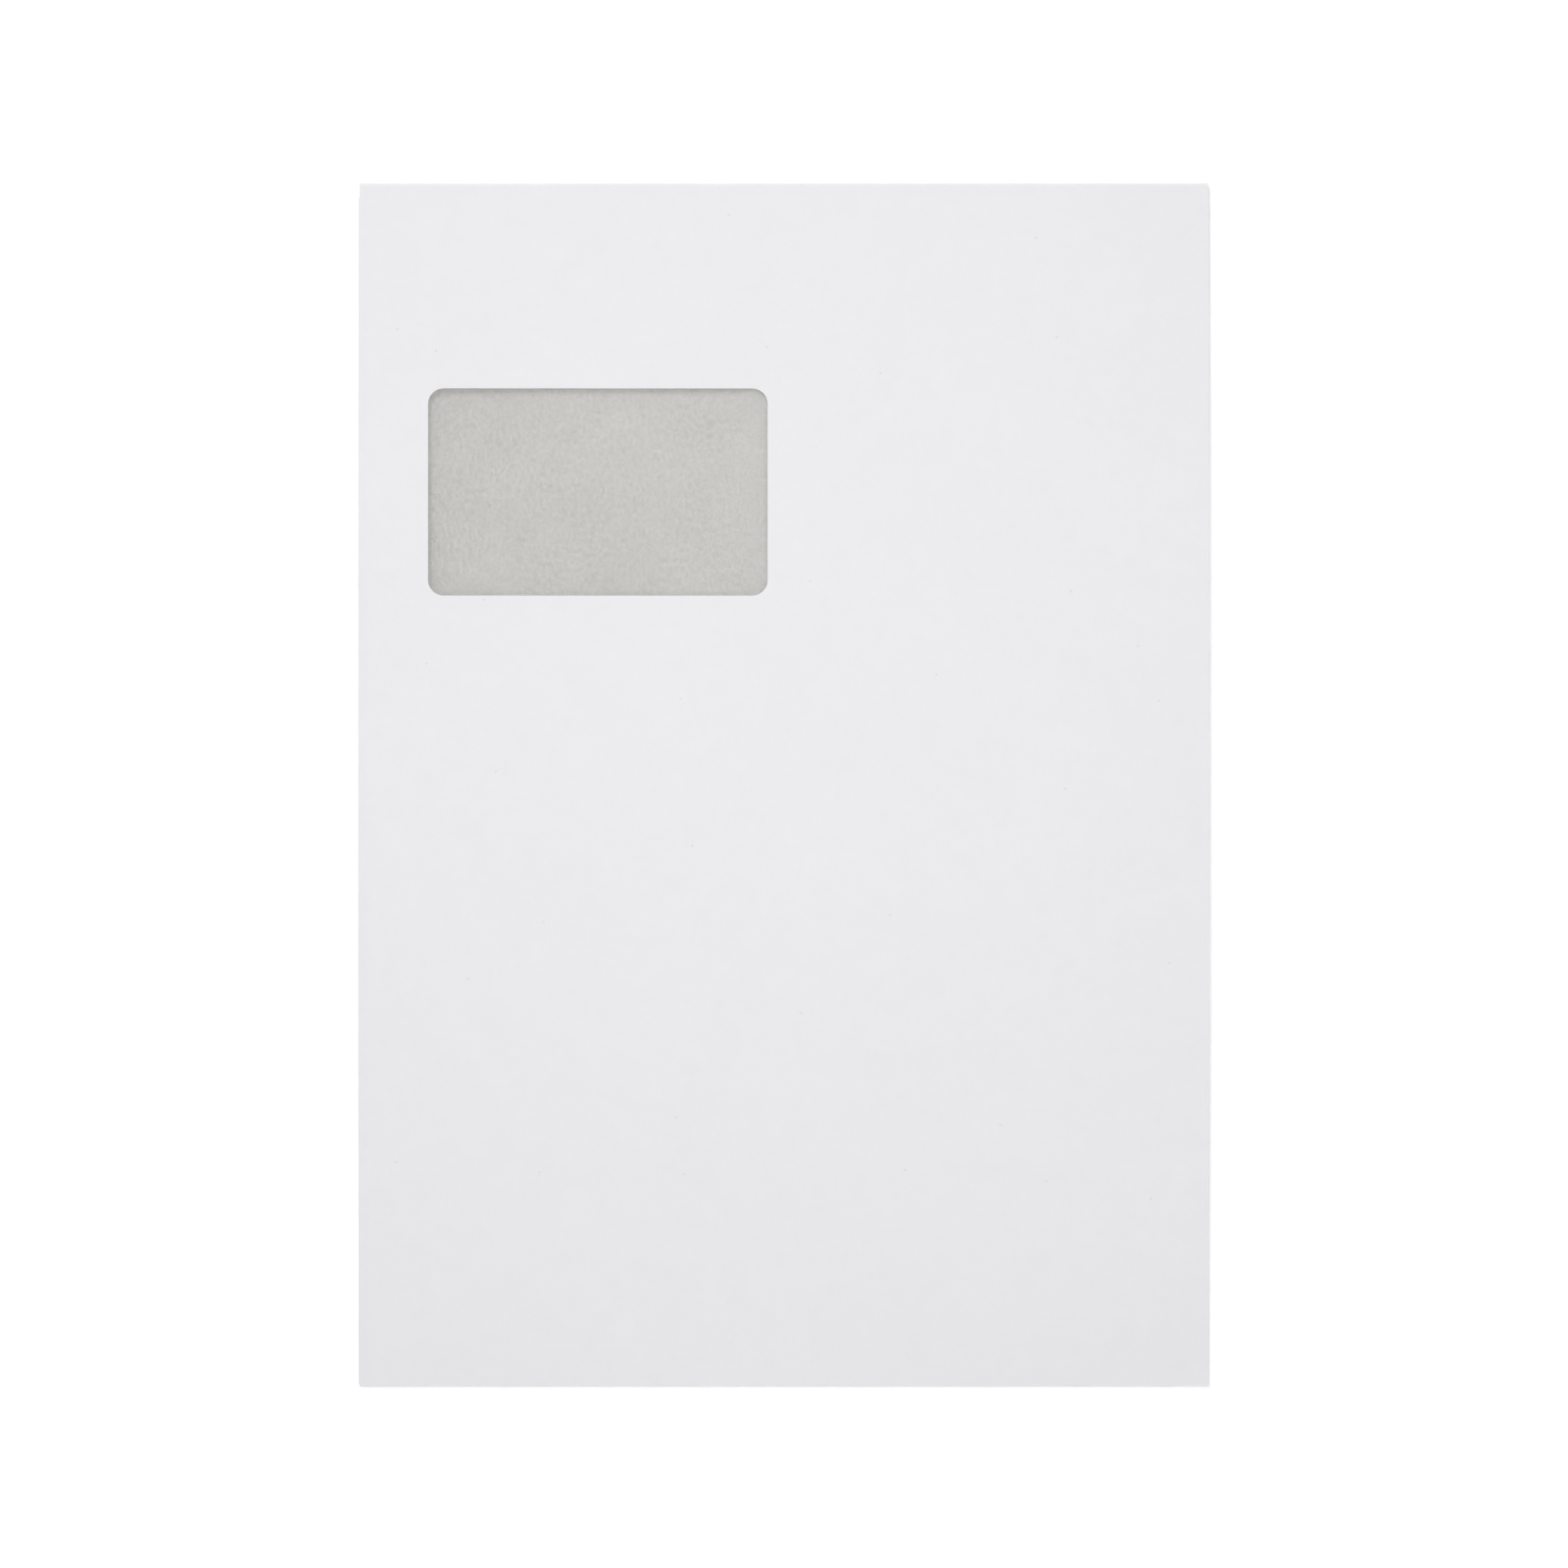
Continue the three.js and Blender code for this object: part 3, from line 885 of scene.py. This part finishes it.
# Pieces and stage

def add_piece(context, name, mesh, made, slot, *nodes):
    """A piece with its own material, which replaces nodes of the frame."""
    piece = bpy.data.objects.new(name, mesh)
    context.scene.collection.objects.link(piece)
    mesh.materials.append(made)
    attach(piece, "root")
    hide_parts(*nodes)


class ENVELOPE_OT_folded_sheet(bpy.types.Operator):
    """Fold the sheet: front panel with its window, gussets, lapped back and both flaps"""

    bl_idname = "envelope.folded_sheet"
    bl_label = "Folded sheet"

    def execute(self, context):
        scene = context.scene
        form = Form(scene.envelope_sizes)
        mesh = envelope_sheet_mesh(form, scene.envelope_mesh)
        made = paper_material(scene.envelope_finishes, scene.envelope_sizes.film_margin)
        add_piece(context, "folded_sheet", mesh, made, "paper", "envelope_sheet")
        return {"FINISHED"}


class ENVELOPE_OT_window_film(bpy.types.Operator):
    """Lay the clear film behind the window"""

    bl_idname = "envelope.window_film"
    bl_label = "Window film"

    def execute(self, context):
        scene = context.scene
        form = Form(scene.envelope_sizes)
        mesh = window_film_mesh(form, scene.envelope_mesh)
        made = film_material(scene.envelope_finishes)
        add_piece(context, "film_patch", mesh, made, "film", "window_film")
        return {"FINISHED"}


class ENVELOPE_OT_closure(bpy.types.Operator):
    """Lay the adhesive strip on the closing flap and its release liner on the strip"""

    bl_idname = "envelope.closure"
    bl_label = "Adhesive and liner"

    def execute(self, context):
        scene = context.scene
        sizes = scene.envelope_closure
        finishes = scene.envelope_finishes
        band = adhesive_mesh(sizes)
        add_piece(context, "glue_band", band, adhesive_material(finishes), "adhesive", "adhesive_strip")
        strip = liner_mesh(sizes)
        add_piece(context, "liner_strip", strip, liner_material(finishes), "liner", "release_liner")
        return {"FINISHED"}


def floor_material():
    """Pale floor that shows white where no shadow falls, and keeps the shadow."""
    made, shader = material("pale_floor")
    here = shader.place()
    away = shader.node("ShaderNodeVectorMath", {"operation": "LENGTH"}, {0: here}, "Value")
    seen = shader.ray("Camera", "Glossy", "Transmission")
    base = shader.tone(FLOOR_COLOUR, 0.98 + shader.noise(here, scale=8.0) * 0.02)
    diffuse = shader.node("ShaderNodeBsdfDiffuse", None, {"Color": base})
    level = NEAR_LIFT + away.between(*LIFT_RANGE) * (1.0 - NEAR_LIFT)
    lift = shader.node("ShaderNodeEmission", None, {"Color": WHITE, "Strength": seen * level})
    shader.finish(shader.node("ShaderNodeAddShader", None, {0: diffuse, 1: lift}))
    return made


def add_floor(context):
    """A level square far wider than the envelope, just under it."""
    signs = ((-1, -1), (1, -1), (1, 1), (-1, 1))
    corners = [(x * FLOOR_REACH, y * FLOOR_REACH, -FLOOR_DROP) for x, y in signs]
    mesh = bpy.data.meshes.new("floor")
    mesh.from_pydata(corners, [], [(0, 1, 2, 3)])
    mesh.materials.append(floor_material())
    floor = bpy.data.objects.new("floor", mesh)
    context.scene.collection.objects.link(floor)


def add_world(context, fill):
    """White to the camera, to gloss and through glass, and an even fill light to everything else."""
    world = bpy.data.worlds.new("studio")
    context.scene.world = world
    shader = Shader(world)
    seen = shader.ray("Camera", "Glossy", "Transmission")
    hue = shader.mix(seen, (*FILL_HUE, 1.0), WHITE)
    values = {"Color": hue, "Strength": fill + seen * (1.0 - fill)}
    shader.finish(shader.node("ShaderNodeBackground", None, values), "World")


def add_softbox(context, name, place, target, extent, power):
    """A soft rectangle of light aimed at a point, which the camera doesn't see."""
    light = bpy.data.lights.new(name, "AREA")
    light.shape = "RECTANGLE"
    light.size, light.size_y = extent
    light.energy = power
    lamp = bpy.data.objects.new(name, light)
    lamp.location = place
    lamp.rotation_euler = (Vector(target) - Vector(place)).to_track_quat("-Z", "Y").to_euler()
    lamp.visible_camera = False
    context.scene.collection.objects.link(lamp)


def add_camera(context, view_width, height, level):
    """A camera that looks straight down, framed by the width that it sees at the front panel."""
    camera = bpy.data.cameras.new("camera")
    camera.sensor_width = SENSOR_WIDTH
    camera.lens = camera.sensor_width * height / view_width
    camera.clip_end = CLIP_END
    eye = bpy.data.objects.new("camera", camera)
    eye.location = (0.0, CAMERA_SHIFT, level + height)
    context.scene.collection.objects.link(eye)
    context.scene.camera = eye


class ENVELOPE_OT_stage(bpy.types.Operator):
    """Set the pale floor, the soft light and the camera that looks down on the envelope"""

    bl_idname = "envelope.stage"
    bl_label = "Stage"

    def execute(self, context):
        scene = context.scene
        stage = scene.envelope_stage
        add_camera(context, stage.view_width, stage.view_height, SHEET_HIGH[2])
        add_floor(context)
        add_world(context, stage.fill_level)
        middle = (0.0, 0.0, 0.0)
        under = (*OVERHEAD_PLACE[:2], 0.0)
        add_softbox(context, "key_light", KEY_PLACE, middle, KEY_SIZE, stage.key_level)
        add_softbox(
            context, "overhead_light", OVERHEAD_PLACE, under, OVERHEAD_SIZE, stage.overhead_level
        )
        for name, place, part in REFLECTORS:
            power = stage.reflector_level * part
            add_softbox(context, name, place, middle, REFLECTOR_SIZE, power)
        scene.view_settings.view_transform = "Standard"
        return {"FINISHED"}


class ENVELOPE_PT_panel(bpy.types.Panel):
    """Sizes, finishes and steps of the envelope"""

    bl_idname = "ENVELOPE_PT_panel"
    bl_label = "Gusseted envelope"
    bl_space_type = "VIEW_3D"
    bl_region_type = "UI"
    bl_category = "Envelope"

    def draw(self, context):
        for group_name in GROUPS:
            group = getattr(context.scene, group_name)
            box = self.layout.box()
            for name in group.__annotations__:
                box.prop(group, name)
        for operator in STEPS:
            self.layout.operator(operator.bl_idname)


STEPS = (ENVELOPE_OT_stage, ENVELOPE_OT_folded_sheet, ENVELOPE_OT_window_film, ENVELOPE_OT_closure)
GROUPS = {
    "envelope_sizes": SheetSizes,
    "envelope_mesh": SheetMesh,
    "envelope_closure": ClosureSizes,
    "envelope_finishes": Finishes,
    "envelope_stage": StageSettings,
}


def register():
    """Adds the classes, and the settings to every scene."""
    for kind in (*GROUPS.values(), *STEPS, ENVELOPE_PT_panel):
        bpy.utils.register_class(kind)
    for name, group in GROUPS.items():
        setattr(bpy.types.Scene, name, PointerProperty(type=group))


def unregister():
    """Takes away what register added."""
    for name in GROUPS:
        delattr(bpy.types.Scene, name)
    for kind in (ENVELOPE_PT_panel, *STEPS, *GROUPS.values()):
        bpy.utils.unregister_class(kind)


def main():
    register()
    bpy.ops.envelope.stage()
    bpy.ops.envelope.folded_sheet()
    bpy.ops.envelope.window_film()
    bpy.ops.envelope.closure()


if __name__ == "__main__":
    main()
